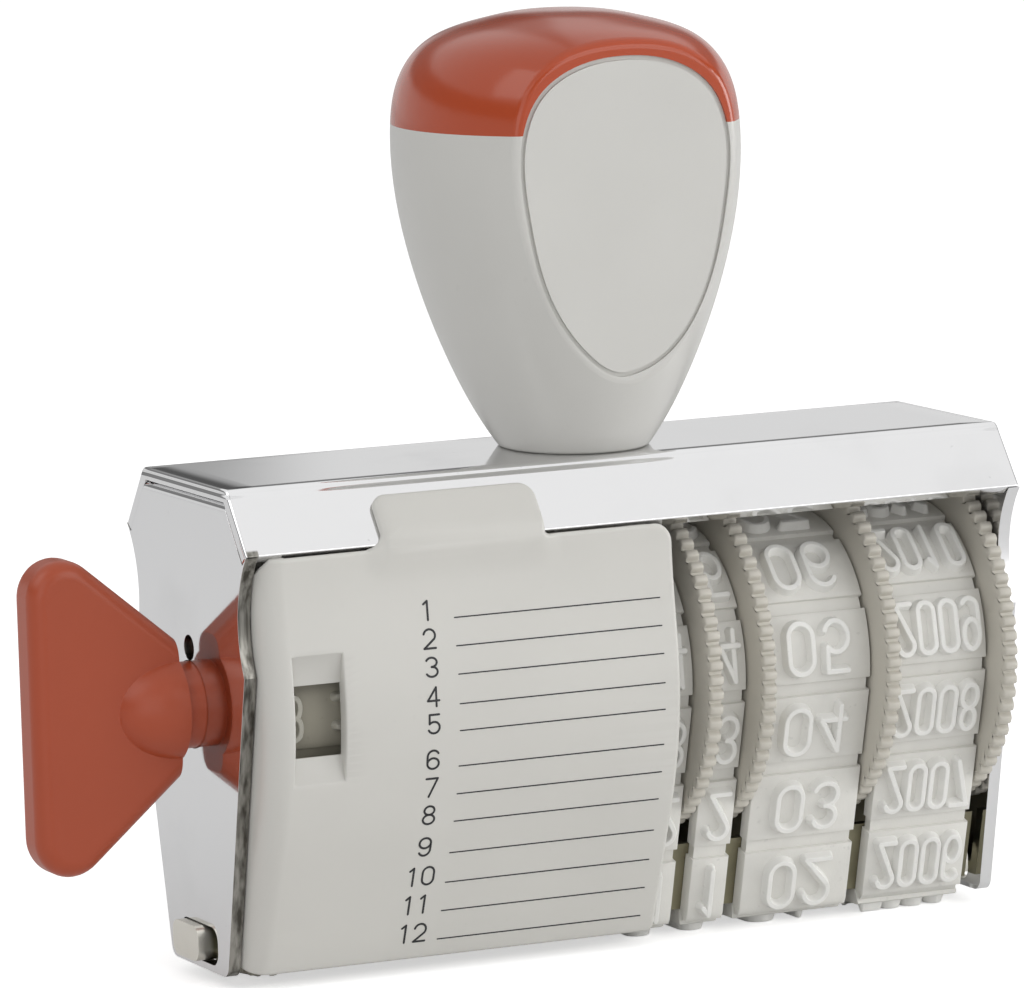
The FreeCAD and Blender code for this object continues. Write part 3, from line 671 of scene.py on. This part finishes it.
def softened(node, body, finish, radius, sharp=28, shaped=None):
    """A copy of a CAD node with its sharp edges rounded over, which replaces it."""
    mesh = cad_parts[node].data.copy()
    form = bmesh.new()
    form.from_mesh(mesh)
    if shaped:
        for point in form.verts:
            point.co = shaped(point.co / MM) * MM
    bmesh.ops.remove_doubles(form, verts=form.verts, dist=CAD_WELD * MM)
    bmesh.ops.dissolve_limit(form, angle_limit=math.radians(1), verts=form.verts,
                             edges=form.edges)
    edges = [edge for edge in form.edges
             if len(edge.link_faces) == 2 and edge.calc_face_angle(0) > math.radians(sharp)]
    bmesh.ops.bevel(form, geom=edges, offset=radius * MM, offset_type="OFFSET", segments=3,
                    profile=0.5, affect="EDGES", clamp_overlap=True)
    bmesh.ops.recalc_face_normals(form, faces=form.faces)
    form.to_mesh(mesh)
    form.free()
    mesh.polygons.foreach_set("use_smooth", [True] * len(mesh.polygons))
    mesh.set_sharp_from_angle(angle=math.radians(40))
    mesh.materials.clear()
    mesh.materials.append(finish.material)
    piece = bpy.data.objects.new(node + "_softened", mesh)
    scene.collection.objects.link(piece)
    even = piece.modifiers.new("flat faces stay flat", "WEIGHTED_NORMAL")
    even.keep_sharp = True
    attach(piece, body)
    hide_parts(node)


# The knob's wing: its ends along X, the half height that stays as it is, and two lines of half
# height, each as (at the outer end, less for each millimetre inwards). Their ratio is the
# stretch of what stands past the part that stays.
WING_SPAN = (-46.5, -34.6)
WING_NECK = 4.3
WING_SOLID = (11.2, 0.849)
WING_SHAPED = (11.68, 0.939)


def slim_neck(spot):
    """Spreads the knob's wing a little and draws it in towards its neck."""
    rise = abs(spot.z - AXIS_HEIGHT)
    if rise <= WING_NECK or not WING_SPAN[0] <= spot.x <= WING_SPAN[1]:
        return spot
    along = spot.x - WING_SPAN[0]
    shaped = WING_SHAPED[0] - WING_SHAPED[1] * along
    rise = WING_NECK + (rise - WING_NECK) * shaped / (WING_SOLID[0] - WING_SOLID[1] * along)
    return Vector((spot.x, spot.y, AXIS_HEIGHT + math.copysign(rise, spot.z - AXIS_HEIGHT)))


# The front cover: a curved shell with a rounded left side, a tab over the flange and a window
COVER_LEFT = -31.83
COVER_RIGHT = 2.5
COVER_TOP = 33.3
COVER_FOOT = 0.35
COVER_WALL = 1.1
COVER_ROUND = 1.9
COVER_EDGE = 0.32
SKIRT_BACK = -9.58
TAB_SIDES = (-21.75, -8.35)
TAB_LENGTH = 4.05
TAB_WALL = 0.75
TAB_BULGE = 0.40
TAB_ROLL = 1.0
TAB_ROLL_DROP = 0.28
FLANGE_EDGE = Vector((-12.1, 33.6))
FLANGE_WAY = Vector((3.65, 4.7)).normalized()
FLANGE_OUT = Vector((-FLANGE_WAY.y, FLANGE_WAY.x))
WINDOW_SIDES = (-29.75, -25.62)
WINDOW_MOUTH = (15.95, 25.75)
WINDOW_THROAT = (17.75, 23.55)
WINDOW_LIP = 0.14
INNER_EDGE = 0.12
# How wide the tab's sides blend into the face, and where the blend ends inside the tab
TAB_BLEND = 1.6
TAB_BLEND_END = 0.5
# The x where the solid cover's profile is taken, and the steps up its face and over the flange
PROFILE_X = -24.0
FACE_STEPS = 132
BEND_STEPS = 8
BEND_REACH = 0.75


def eased(value, low, high):
    """0 below low, 1 above high, and a smooth rise between them."""
    share = min(max((value - low) / (high - low), 0.0), 1.0)
    return share * share * (3 - 2 * share)


class CoverPath:
    """The cover's outer profile from its foot up its face, and on over the flange."""

    def __init__(self):
        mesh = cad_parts["front_cover"].data
        self.surface = BVHTree.FromPolygons([point.co.copy() for point in mesh.vertices],
                                            [tuple(face.vertices) for face in mesh.polygons])
        self.stations = []
        for step in range(FACE_STEPS + 1):
            z = COVER_FOOT + 0.05 + (COVER_TOP - 0.35 - COVER_FOOT) * step / FACE_STEPS
            self.stations.append(Vector((self.face(PROFILE_X, z), z)))
        last = self.stations[-1]
        self.stations[0].y = COVER_FOOT
        self.stations.append(last + (last - self.stations[-2]) * (COVER_TOP - last.y)
                             / (last.y - self.stations[-2].y))
        self.face_count = len(self.stations)
        bend = FLANGE_EDGE + FLANGE_OUT * (TAB_WALL + 0.06)
        start = self.stations[-1] - Vector((TAB_BULGE, 0))
        corner = Vector((start.x - 0.02, bend.y + 0.12))
        turned = bend + FLANGE_WAY * BEND_REACH
        for step in range(1, BEND_STEPS + 1):
            share = step / BEND_STEPS
            point = (start * (1 - share) ** 2 + corner * 2 * share * (1 - share)
                     + turned * share ** 2)
            self.stations.append(point + Vector((TAB_BULGE, 0)) * (1 - share))
        for step in range(1, BEND_STEPS + 1):
            reach = BEND_REACH + (TAB_LENGTH - BEND_REACH) * step / BEND_STEPS
            self.stations.append(bend + FLANGE_WAY * reach)
        self.lengths = [0.0]
        for before, after in zip(self.stations, self.stations[1:]):
            self.lengths.append(self.lengths[-1] + (after - before).length)
        self.top = self.lengths[self.face_count - 1]
        self.bend = self.lengths[self.face_count + BEND_STEPS - 1] - self.top
        self.end = self.lengths[-1]

    def face(self, x, z):
        """The depth of the solid cover's front at a place."""
        spot = self.surface.ray_cast(Vector((x, -30, z)) * MM, Vector((0, 1, 0)))[0]
        return spot.y / MM

    def at(self, length):
        """The point of the path at a length from its foot, and the way inwards."""
        length = min(max(length, 0.0), self.end)
        index = 0
        while index < len(self.lengths) - 2 and self.lengths[index + 1] < length:
            index += 1
        before, after = self.stations[index], self.stations[index + 1]
        share = (length - self.lengths[index]) / (self.lengths[index + 1] - self.lengths[index])
        ways = []
        for place in (index, index + 1):
            low = self.stations[max(place - 1, 0)]
            high = self.stations[min(place + 1, len(self.stations) - 1)]
            way = (high - low).normalized()
            ways.append(Vector((way.y, -way.x)))
        return before.lerp(after, share), ways[0].lerp(ways[1], share).normalized()

    def length_at(self, z):
        """The length along the path at a height on the cover's face."""
        for index in range(self.face_count - 1):
            if self.stations[index + 1].y >= z:
                span = self.stations[index + 1].y - self.stations[index].y
                share = (z - self.stations[index].y) / span
                return self.lengths[index] + share * (self.lengths[index + 1] - self.lengths[index])
        return self.top


def cover_spot(path, across, length, inner, trim=0.0):
    """A point of the cover: across and up its unrolled face, and how far through its wall."""
    turned = COVER_LEFT + COVER_ROUND - across
    point, inwards = path.at(length)
    tab = (eased(across, TAB_SIDES[0] - TAB_BLEND, TAB_SIDES[0] + TAB_BLEND_END)
           * eased(-across, -TAB_SIDES[1] - TAB_BLEND, -TAB_SIDES[1] + TAB_BLEND_END))
    # the wall: thicker at the right return, thinner where it slips under the flange
    if length <= path.top:
        wall = COVER_WALL + (0.4 * eased(across, 1.2, 1.5) if point.y > 12.5 else 0.0)
        bare = min(wall, 0.31 + (COVER_TOP - point.y) * 1.29)
        covered = COVER_WALL - 0.50 * eased(point.y, 32.3, 33.4)
        wall = bare * (1 - tab) + min(wall, covered) * tab
    else:
        wall = 0.60 + (TAB_WALL - 0.60) * eased(length, path.top, path.top + 1.0)
    bulge = TAB_BULGE * tab * (eased(point.y, 30.6, 33.3) if length <= path.top
                               else max(0.0, 1 - (length - path.top) / path.bend))
    # round the left corner and back along the skirt
    if turned <= 0:
        angle, x, depth = 0.0, across, 0.0
    elif turned < COVER_ROUND * math.pi / 2:
        angle = turned / COVER_ROUND
        x = COVER_LEFT + COVER_ROUND * (1 - math.sin(angle))
        depth = COVER_ROUND * (1 - math.cos(angle))
    else:
        angle, x = math.pi / 2, COVER_LEFT
        depth = COVER_ROUND + turned - COVER_ROUND * math.pi / 2
    if angle > 0:
        wall = 1.0
    through = inner * min(1.0, wall / 0.6) if inner < 0.5 else wall - trim
    x += through * math.sin(angle)
    side = min(max(1 - (across - TAB_SIDES[0]) / TAB_ROLL, 0.0), 1.0)
    roll = TAB_ROLL_DROP * tab * side * side * eased(length, path.top - 1.2, path.top + 0.8)
    depth += through * math.cos(angle) - bulge + (roll if inner < 0.5 else 0.0)
    spot = point + inwards * depth
    return (x, spot.x, spot.y)


def corner_arc(centre, radius, start, end):
    """Points of a circular arc round a corner of an outline."""
    return arc_points(centre, (radius, radius), start, end, 8)


# The skirt's back edge: it leans forward below its knee, and its top slopes down to the back
SKIRT_STEPS = 40
SKIRT_KNEE = 20.2
SKIRT_TOP_START = 0.25
SKIRT_TOP_SLOPE = 0.776


def cover_outline(path):
    """The unrolled outline of the cover, counterclockwise from its lower right corner."""
    fold = COVER_LEFT + COVER_ROUND * (1 - math.pi / 2)
    top, end = path.top, path.end
    left, right = TAB_SIDES
    points = corner_arc((COVER_RIGHT - 0.6, 0.6), 0.6, -90, 0)
    points += corner_arc((COVER_RIGHT - 1.5, top - 1.5), 1.5, 0, 90)
    points += corner_arc((right + 0.45, top + 0.45), 0.45, -90, -180)
    points += corner_arc((right - 1.35, end - 1.35), 1.35, 0, 90)
    points += corner_arc((left + 1.0, end - 1.0), 1.0, 90, 180)
    points += corner_arc((left - 1.4, top + 1.4), 1.4, 0, -90)
    points.append((COVER_LEFT + COVER_ROUND * 0.35, top - 0.05))
    points.append((fold, top - max(0.0, COVER_ROUND - SKIRT_TOP_START) * SKIRT_TOP_SLOPE))
    for step in range(SKIRT_STEPS + 1):
        length = top - (top * step / SKIRT_STEPS)
        point, inwards = path.at(length)
        back = SKIRT_BACK
        if point.y < SKIRT_KNEE:
            back = max(back, -5.1 - (point.y - 0.3) * 0.226)
        reach = (back - point.x) / max(inwards.x, 0.5) - COVER_ROUND
        across = fold - max(reach, 0.15)
        slope = max(0.0, (COVER_ROUND + fold - across - SKIRT_TOP_START) * SKIRT_TOP_SLOPE)
        if length <= top - slope:
            points.append((across, length))
    return spaced(points, 0.35)


def spaced(points, gap):
    """A closed outline with points no further apart than a gap."""
    dense = []
    for index, point in enumerate(points):
        after = points[(index + 1) % len(points)]
        span = math.hypot(after[0] - point[0], after[1] - point[1])
        if span < 1e-5:
            continue
        steps = max(1, math.ceil(span / gap))
        for step in range(steps):
            dense.append((point[0] + (after[0] - point[0]) * step / steps,
                          point[1] + (after[1] - point[1]) * step / steps))
    return dense


def drawn_in(points, distance):
    """A closed counterclockwise outline moved inwards."""
    count = len(points)
    moved = []
    for index, point in enumerate(points):
        before, after = points[index - 1], points[(index + 1) % count]
        way = Vector((after[0] - before[0], after[1] - before[1])).normalized()
        moved.append((point[0] - way.y * distance, point[1] + way.x * distance))
    return moved


def filled(loops, cuts):
    """Fills outlines with faces that are parted along lines, as points and faces."""
    form = bmesh.new()
    for loop in loops:
        corners = [form.verts.new((x, y, 0)) for x, y in loop]
        for index, corner in enumerate(corners):
            form.edges.new((corner, corners[(index + 1) % len(corners)]))
    bmesh.ops.triangle_fill(form, edges=form.edges, use_beauty=True, normal=(0, 0, 1))
    for axis, place in cuts:
        spot, way = [0.0, 0.0, 0.0], [0.0, 0.0, 0.0]
        spot[axis] = place
        way[axis] = 1.0
        bmesh.ops.bisect_plane(form, geom=form.verts[:] + form.edges[:] + form.faces[:], dist=1e-5,
                               plane_co=spot, plane_no=way)
    form.verts.index_update()
    points = [(point.co.x, point.co.y) for point in form.verts]
    faces = [tuple(point.index for point in face.verts) for face in form.faces]
    form.free()
    return points, faces


def past(value, low, high):
    """1 above a span, -1 below it and 0 inside."""
    return (value > high) - (value < low)


def cover_piece():
    """The cover's shell with its window. Returns its surface, for the print."""
    path = CoverPath()
    outline = cover_outline(path)
    window = [path.length_at(z) for z in WINDOW_MOUTH]
    throat = [path.length_at(z) for z in WINDOW_THROAT]
    left, right = WINDOW_SIDES

    def ring(points, inner, trim=0.0):
        return [cover_spot(path, x, y, inner, trim) for x, y in points]

    form = Form()
    rings = []
    for step in range(5):
        angle = math.pi / 2 * step / 4
        inset = COVER_EDGE * (1 - math.sin(angle))
        rings.append(ring(drawn_in(outline, inset), COVER_EDGE * (1 - math.cos(angle))))
    rings.append(ring(outline, 1.0, INNER_EDGE))
    rings.append(ring(drawn_in(outline, INNER_EDGE), 1.0))
    form.add_rings(rings)

    mouth = spaced([(right, window[0]), (right, window[1]), (left, window[1]),
                    (left, window[0])], 0.3)
    deep = []
    lip = []
    rim = []
    for x, y in mouth:
        share = (y - window[0]) / (window[1] - window[0])
        deep.append((x, throat[0] + share * (throat[1] - throat[0])))
        out_x = x + WINDOW_LIP * past(x, left + 0.01, right - 0.01)
        out_y = y + WINDOW_LIP * past(y, window[0] + 0.01, window[1] - 0.01)
        lip.append((out_x, out_y))
        rim.append((x * 0.7 + out_x * 0.3, y * 0.7 + out_y * 0.3))
    form.add_rings([ring(lip, 0.0), ring(rim, 0.04), ring(mouth, WINDOW_LIP),
                    ring(deep, 1.0, INNER_EDGE), ring(deep, 1.0)])

    # the faces are parted where they bend: up the face, round the left corner, at the tab's
    # sides, and inside also at the right return
    cuts = [(1, 0.6 * step) for step in range(1, 64)]
    cuts += [(0, COVER_LEFT + COVER_ROUND - 0.27 * step) for step in range(12)]
    for side in (TAB_SIDES[0] - TAB_BLEND, TAB_SIDES[1] - TAB_BLEND_END):
        cuts += [(0, side + 0.3 * step) for step in range(8)]
    points, faces = filled([drawn_in(outline, COVER_EDGE), lip], cuts)
    form.add(ring(points, 0.0), faces)
    inner_cuts = cuts[::2] + [(0, 1.2), (0, 1.35), (0, 1.5)]
    points, faces = filled([drawn_in(outline, INNER_EDGE), deep], inner_cuts)
    form.add(ring(points, 1.0), faces)
    piece = add_piece("front_cover_shell", "frame", cover_plastic, form, 50)
    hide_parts("front_cover")
    return BVHTree.FromPolygons([Vector(point) * MM for point in form.points], form.faces)


# The list printed on the cover: each row's height, and where its number and its rule stand
PRINT_ROWS = (28.35, 26.2, 24.05, 21.78, 19.69, 16.89, 14.66, 12.43, 9.82, 7.36, 4.99, 2.61)
PRINT_NUMBER = -18.4
PRINT_RULE = (-16.2, 1.1)
PRINT_HEIGHT = 1.45
PRINT_WIDTH = 0.95
PRINT_GAP = 0.3
PRINT_LIFT = 0.004
PRINT_RIDGE = [(0.085, 0.0), (0.085, 0.015), (0.07, 0.02)]
RULE_RIDGE = [(0.05, 0.0), (0.05, 0.015), (0.04, 0.02)]


def cover_print(surface):
    """Numbers from 1 to 12 with a plain rule after each, in a thin coat of ink."""
    def on_cover(x, z, out):
        spot, normal, _, _ = surface.ray_cast(Vector((x, -30, z)) * MM, Vector((0, 1, 0)))
        return tuple(spot / MM + normal * (out + PRINT_LIFT))

    form = Form()
    for row, middle in enumerate(PRINT_ROWS):
        text = str(row + 1)
        total = len(text) * PRINT_WIDTH + (len(text) - 1) * PRINT_GAP
        low = middle - PRINT_HEIGHT / 2

        def place(across, up, out):
            return on_cover(left + across, low + up, out)

        for index, figure in enumerate(text):
            left = PRINT_NUMBER - total / 2 + index * (PRINT_WIDTH + PRINT_GAP)
            for points, closed in figure_strokes(figure, PRINT_WIDTH, PRINT_HEIGHT):
                add_ridge(form, points, closed, PRINT_RIDGE, place)
        left = PRINT_RULE[0]
        reach = PRINT_RULE[1] - left
        add_ridge(form, [(reach * step / 12, 0) for step in range(13)], False, RULE_RIDGE, place)
    add_piece("front_cover_print", "frame", ink, form)


cover_print(cover_piece())
softened("phrase_knob", "phrase_dial", red_satin, 0.10, 40, slim_neck)
softened("end_bracket", "frame", bright_steel, 0.12)
softened("top_housing", "frame", bright_steel, 0.12)


# The camera as fitted to the photograph: its angles in radians, the point it looks at, how far
# away it stands, and its focal length in pixels of a picture of this width
CAMERA_ANGLES = (-0.4235, 0.1355, -0.0301)
CAMERA_TARGET = (-5.40, 0, 34.79)
CAMERA_DISTANCE = 600
FOCAL_PIXELS = 7695.16
PICTURE_WIDTH = 1024
SENSOR_WIDTH = 36


def camera():
    """The photograph's view: a long lens from the front left, a little above."""
    azimuth, elevation, roll = CAMERA_ANGLES
    target = Vector(CAMERA_TARGET) * MM
    level = math.cos(elevation)
    back = Vector((math.sin(azimuth) * level, -math.cos(azimuth) * level, math.sin(elevation)))
    right = Vector((math.cos(azimuth), math.sin(azimuth), 0))
    up = back.cross(right)
    turned_right = right * math.cos(roll) + up * math.sin(roll)
    turned_up = up * math.cos(roll) - right * math.sin(roll)
    data = bpy.data.cameras.new("camera")
    data.sensor_width = SENSOR_WIDTH
    data.lens = FOCAL_PIXELS * SENSOR_WIDTH / PICTURE_WIDTH
    data.clip_end = 20
    lens = bpy.data.objects.new("camera", data)
    scene.collection.objects.link(lens)
    place = Matrix((turned_right, turned_up, back)).transposed().to_4x4()
    place.translation = target + back * CAMERA_DISTANCE * MM
    lens.matrix_world = place
    scene.camera = lens


def lamp(name, spot, aim, size, power):
    """A square lamp; its places and size are in metres, its power in watts."""
    data = bpy.data.lights.new(name, "AREA")
    data.size = size
    data.energy = power
    light = bpy.data.objects.new(name, data)
    scene.collection.objects.link(light)
    light.location = spot
    light.rotation_euler = (Vector(aim) - Vector(spot)).to_track_quat("-Z", "Y").to_euler()


def rays(tree, shares):
    """A number that is a share for each kind of ray that is named, and 0 for the rest."""
    path = tree.nodes.new("ShaderNodeLightPath")
    total = None
    for name, share in shares.items():
        part = tree.nodes.new("ShaderNodeMath")
        part.operation = "MULTIPLY_ADD"
        tree.links.new(path.outputs[name], part.inputs[0])
        part.inputs[1].default_value = share
        part.inputs[2].default_value = 0.0
        if total:
            tree.links.new(total, part.inputs[2])
        total = part.outputs[0]
    return total


# The floor: half its width in metres, and its height just under the lowest type
FLOOR_REACH = 3.0
FLOOR_HEIGHT = -0.72


def stage_floor():
    """A plain pale floor that the camera sees as white."""
    mesh = bpy.data.meshes.new("floor")
    reach, low = FLOOR_REACH, FLOOR_HEIGHT * MM
    mesh.from_pydata([(-reach, -reach, low), (reach, -reach, low), (reach, reach, low),
                      (-reach, reach, low)], [], [(0, 1, 2, 3)])
    floor = bpy.data.objects.new("floor", mesh)
    scene.collection.objects.link(floor)
    finish = Finish("floor_paper", (0.88, 0.88, 0.88), 0.9, Specular_IOR_Level=0.1,
                    Emission_Strength=1.0)
    glow = rays(finish.tree, {"Is Camera Ray": 0.55, "Is Glossy Ray": 0.06,
                              "Is Transmission Ray": 0.12})
    finish.paint("Emission Color", Value(finish, glow))
    mesh.materials.append(finish.material)


def ramp(tree, value, stops):
    """A grey that follows a value through its stops."""
    made = tree.nodes.new("ShaderNodeValToRGB")
    made.color_ramp.interpolation = "EASE"
    while len(made.color_ramp.elements) < len(stops):
        made.color_ramp.elements.new(0.5)
    for element, (position, grey) in zip(made.color_ramp.elements, stops):
        element.position = position
        element.color = (grey, grey, grey, 1)
    tree.links.new(value, made.inputs[0])
    return made.outputs[0]


# What mirrors see of the room: a grey for each height, and one for each direction x / y
MIRROR_HEIGHTS = ((0.0, 0.74), (0.155, 0.74), (0.21, 0.20), (0.37, 0.24), (0.44, 0.92),
                  (1.0, 1.0))
MIRROR_CARD = ((0.0, 1.0), (0.28, 1.0), (0.36, 0.45), (0.399, 0.50), (0.425, 1.0), (1.0, 1.0))
# The room's light, and what brings the seen background up to white
AMBIENT = 0.57
WHITE_SHARE = 0.43


def studio():
    """A white room with a darker band and a dark card on its walls, which only mirrors pick up."""
    world = bpy.data.worlds.new("studio")
    world.use_nodes = True
    scene.world = world
    tree = world.node_tree
    nodes = tree.nodes
    place = nodes.new("ShaderNodeTexCoord")
    height = nodes.new("ShaderNodeSeparateXYZ")
    tree.links.new(place.outputs["Generated"], height.inputs[0])
    band = ramp(tree, height.outputs[2], MIRROR_HEIGHTS)
    sideways = nodes.new("ShaderNodeMath")
    sideways.operation = "DIVIDE"
    tree.links.new(height.outputs[0], sideways.inputs[0])
    tree.links.new(height.outputs[1], sideways.inputs[1])
    card = ramp(tree, sideways.outputs[0], MIRROR_CARD)
    mirror = nodes.new("ShaderNodeBackground")
    tree.links.new(band, mirror.inputs["Color"])
    tree.links.new(card, mirror.inputs["Strength"])
    plain = nodes["Background"]
    plain.inputs["Color"].default_value = (1, 1, 1, 1)
    level = nodes.new("ShaderNodeMath")
    level.operation = "ADD"
    level.inputs[1].default_value = AMBIENT
    seen = rays(tree, {"Is Camera Ray": WHITE_SHARE, "Is Transmission Ray": WHITE_SHARE})
    tree.links.new(seen, level.inputs[0])
    tree.links.new(level.outputs[0], plain.inputs["Strength"])
    both = nodes.new("ShaderNodeMixShader")
    tree.links.new(rays(tree, {"Is Glossy Ray": 1.0}), both.inputs[0])
    tree.links.new(plain.outputs[0], both.inputs[1])
    tree.links.new(mirror.outputs[0], both.inputs[2])
    tree.links.new(both.outputs[0], nodes["World Output"].inputs["Surface"])
    scene.view_settings.view_transform = "Standard"
    lamp("key", (0.45, -0.85, 0.38), (0, 0, 0.03), 0.6, 1.9)
    lamp("fill", (-0.5, -0.8, 0.25), (0, 0, 0.03), 0.6, 1.0)
    lamp("side", (0.85, -0.35, 0.05), (0, 0, 0.04), 0.5, 4.5)
    lamp("top", (-0.65, -0.15, 0.75), (0, 0, 0.05), 0.6, 1.3)


camera()
stage_floor()
studio()
